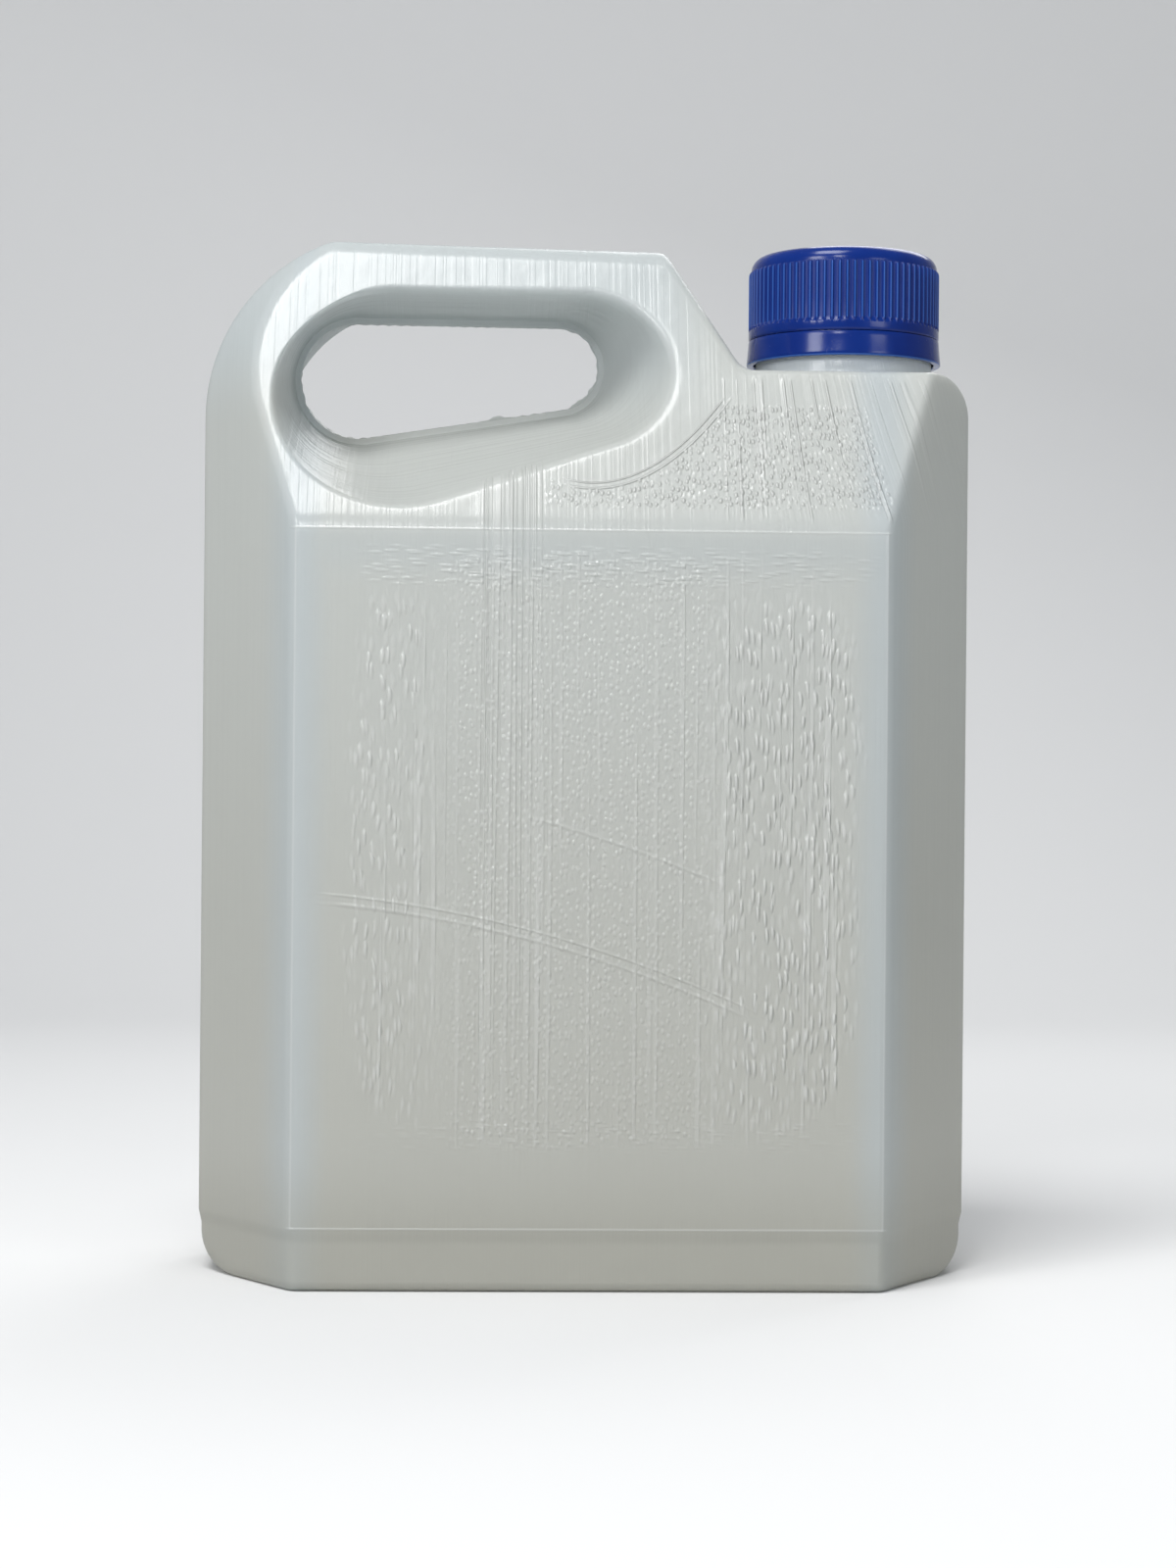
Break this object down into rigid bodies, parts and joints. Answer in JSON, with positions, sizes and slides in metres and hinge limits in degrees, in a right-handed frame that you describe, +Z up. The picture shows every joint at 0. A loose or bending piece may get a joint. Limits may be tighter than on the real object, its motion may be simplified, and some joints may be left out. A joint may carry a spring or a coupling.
{
  "type": "square plastic jug",
  "caption": "Upright milky plastic jug with flat panels, chamfered corners, a through handle at one shoulder and a ribbed blue screw cap with tamper band at the other.",
  "frame": {"origin": "middle of the base, on the surface the jug stands on", "axes": "+Z up, -Y out of the front panel, +X towards the neck and cap"},
  "size_m": [0.1652, 0.088, 0.2215],
  "materials": {
    "jug_plastic": "natural milky polyethylene, satin",
    "cap_plastic": "blue moulded polypropylene, soft gloss"
  },
  "bodies": {
    "root": {"jug": "jug_plastic", "cap": "cap_plastic", "tamper_band": "cap_plastic"}
  },
  "joints": []
}
